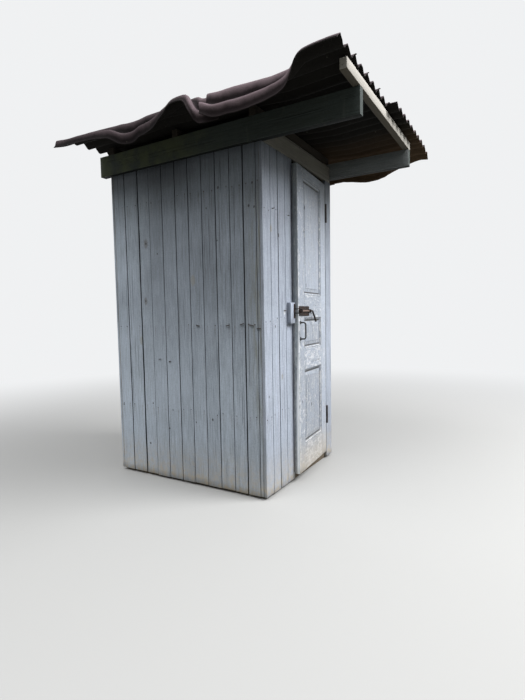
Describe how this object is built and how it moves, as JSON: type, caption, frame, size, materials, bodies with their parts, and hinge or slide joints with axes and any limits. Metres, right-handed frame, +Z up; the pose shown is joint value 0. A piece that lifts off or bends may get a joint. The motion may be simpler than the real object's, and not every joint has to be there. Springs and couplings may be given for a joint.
{
  "type": "wooden outhouse",
  "caption": "Small board-clad wooden outhouse with a flat corrugated roof, a deep front overhang and a panelled door with a sliding bolt.",
  "frame": {"origin": "on the ground under the middle of the roof's outline", "axes": "+Z up, +Y from the door towards the rear wall, +X to the right as seen from in front of the door"},
  "size_m": [1.7107, 1.96, 2.2812],
  "materials": {
    "painted_boards": "worn pale blue-grey paint on boards",
    "painted_beams": "worn grey-green paint",
    "door_paint": "flaking blue-grey paint over white",
    "bare_timber": "bare weathered timber",
    "roof_sheets": "matt brown fibre and bitumen sheet",
    "rusty_iron": "rusted iron",
    "dark_iron": "dark worn iron"
  },
  "bodies": {
    "hut": {"sill_left": "bare_timber", "sill_right": "bare_timber", "cross_sills": "bare_timber", "floor_joist": "bare_timber", "floor_deck": "bare_timber", "front_left_post": "bare_timber", "front_right_post": "bare_timber", "rear_posts": "bare_timber", "door_post": "bare_timber", "left_wall_rails": "bare_timber", "right_wall_rails": "bare_timber", "rear_wall_rails": "bare_timber", "front_wall_rails": "bare_timber", "left_wall": "painted_boards", "right_wall": "painted_boards", "rear_wall": "painted_boards", "front_wall": "painted_boards", "hinge_jamb": "painted_boards", "left_side_beam": "painted_beams", "right_side_beam": "painted_beams", "front_frieze": "painted_boards", "rear_frieze": "painted_boards", "front_batten": "bare_timber", "front_purlin": "bare_timber", "middle_purlin": "bare_timber", "rear_purlin": "bare_timber", "rear_right_roof_sheet": "roof_sheets", "rear_left_roof_sheet": "roof_sheets", "front_right_roof_sheet": "roof_sheets", "front_left_roof_sheet": "roof_sheets", "keeper_block": "painted_boards", "keeper_staple": "rusty_iron", "jamb_hinge_leaves": "dark_iron"},
    "door": {"latch_stile": "door_paint", "hinge_stile": "door_paint", "top_rail": "door_paint", "lock_rail": "door_paint", "middle_rail": "door_paint", "bottom_rail": "door_paint", "top_panel": "door_paint", "middle_panel": "door_paint", "bottom_panel": "door_paint", "door_hinge_leaves": "dark_iron", "bolt_plate": "rusty_iron", "pull_handle": "rusty_iron"},
    "bolt": {"bolt_rod": "rusty_iron"}
  },
  "joints": [
    {"name": "door_hinge", "type": "hinge", "parent": "hut", "child": "door", "pos_m": [0.4, -0.357, 1.077], "axis": [0, 0, 1], "range_deg": [0, 105]},
    {"name": "bolt_slide", "type": "slide", "parent": "door", "child": "bolt", "axis": [-0.9968, -0.0801, 0], "range_m": [0, 0.035]}
  ]
}
